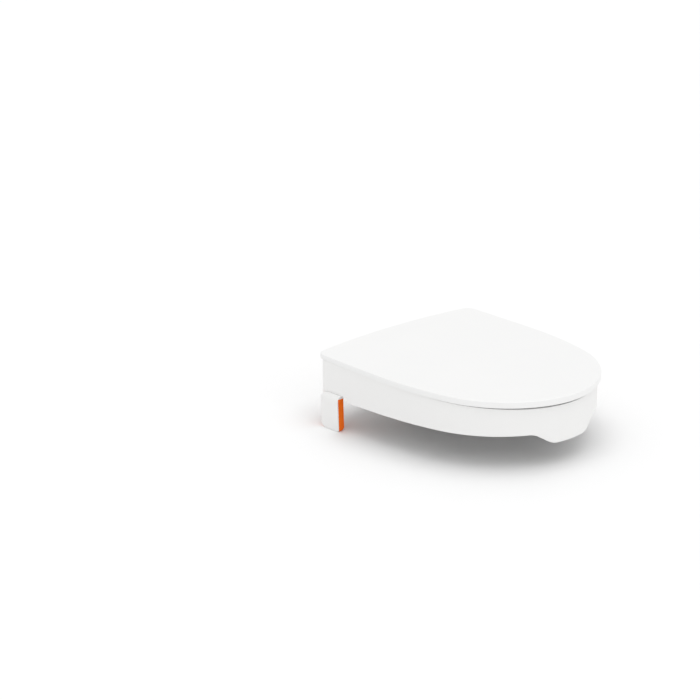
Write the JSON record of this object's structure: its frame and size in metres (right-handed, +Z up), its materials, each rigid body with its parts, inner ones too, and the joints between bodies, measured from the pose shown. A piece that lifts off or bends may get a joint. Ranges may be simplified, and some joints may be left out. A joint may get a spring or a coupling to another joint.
{
  "type": "raised toilet seat",
  "caption": "Raised toilet seat with a hinged lid, a front lip, soft rim pads and adjustable side brackets that grip the bowl.",
  "frame": {"origin": "centre of the rear rim pad's underside, on the plane of the bowl's rim", "axes": "+X across the seat, +Y to the rear, +Z up; the front of the seat faces -Y"},
  "size_m": [0.3868, 0.4363, 0.1269],
  "materials": {
    "body_white": "satin moulded polypropylene with a very fine grain",
    "lid_white": "smooth satin moulded polypropylene",
    "orange_pad": "matte soft moulded elastomer",
    "grey_rubber": "matte soft rubber",
    "natural_nylon": "natural unpigmented nylon",
    "knob_grey": "matte moulded plastic",
    "stainless_steel": "fine brushed stainless steel"
  },
  "bodies": {
    "seat": {"seat_body": "body_white", "splash_guard": "body_white", "support_frame": "body_white", "frame_screws": "stainless_steel", "hinge_pin_left": "stainless_steel", "hinge_pin_right": "stainless_steel", "hinge_caps_left": "body_white", "hinge_caps_right": "body_white", "arm_guide_left": "stainless_steel", "arm_guide_right": "stainless_steel", "guide_screws_left": "stainless_steel", "guide_screws_right": "stainless_steel", "knob_washer_left": "natural_nylon", "knob_washer_right": "natural_nylon", "rim_pad_rear": "grey_rubber", "rim_pad_rear_side_left": "grey_rubber", "rim_pad_rear_side_right": "grey_rubber", "rim_pad_mid_side_left": "grey_rubber", "rim_pad_mid_side_right": "grey_rubber", "rim_pad_front_left": "grey_rubber", "rim_pad_front_right": "grey_rubber"},
    "lid": {"lid": "lid_white", "hinge_knuckle_left": "body_white", "hinge_knuckle_right": "body_white", "hinge_bush_left": "natural_nylon", "hinge_bush_right": "natural_nylon", "lid_bumper_front_left": "grey_rubber", "lid_bumper_front_right": "grey_rubber", "lid_bumper_side_left": "grey_rubber", "lid_bumper_side_right": "grey_rubber"},
    "bracket_left": {"bracket_left": "body_white", "bracket_pad_left": "orange_pad"},
    "bracket_right": {"bracket_right": "body_white", "bracket_pad_right": "orange_pad"},
    "lock_left": {"lock_knob_left": "knob_grey", "cam_disc_left": "natural_nylon", "cam_screw_left": "stainless_steel"},
    "lock_right": {"lock_knob_right": "knob_grey", "cam_disc_right": "natural_nylon", "cam_screw_right": "stainless_steel"}
  },
  "joints": [
    {"name": "lid_hinge", "type": "hinge", "parent": "seat", "child": "lid", "pos_m": [0, 0.0205, 0.053], "axis": [-1, 0, 0], "range_deg": [0, 95]},
    {"name": "bracket_left_slide", "type": "slide", "parent": "seat", "child": "bracket_left", "axis": [-1, 0, 0], "range_m": [-0.01, 0.03]},
    {"name": "bracket_right_slide", "type": "slide", "parent": "seat", "child": "bracket_right", "axis": [1, 0, 0], "range_m": [-0.01, 0.03]},
    {"name": "lock_left_turn", "type": "hinge", "parent": "seat", "child": "lock_left", "pos_m": [-0.115, -0.02325, 0.05], "axis": [0, 0, 1], "range_deg": [0, 90]},
    {"name": "lock_right_turn", "type": "hinge", "parent": "seat", "child": "lock_right", "pos_m": [0.115, -0.02325, 0.05], "axis": [0, 0, -1], "range_deg": [0, 90]}
  ]
}
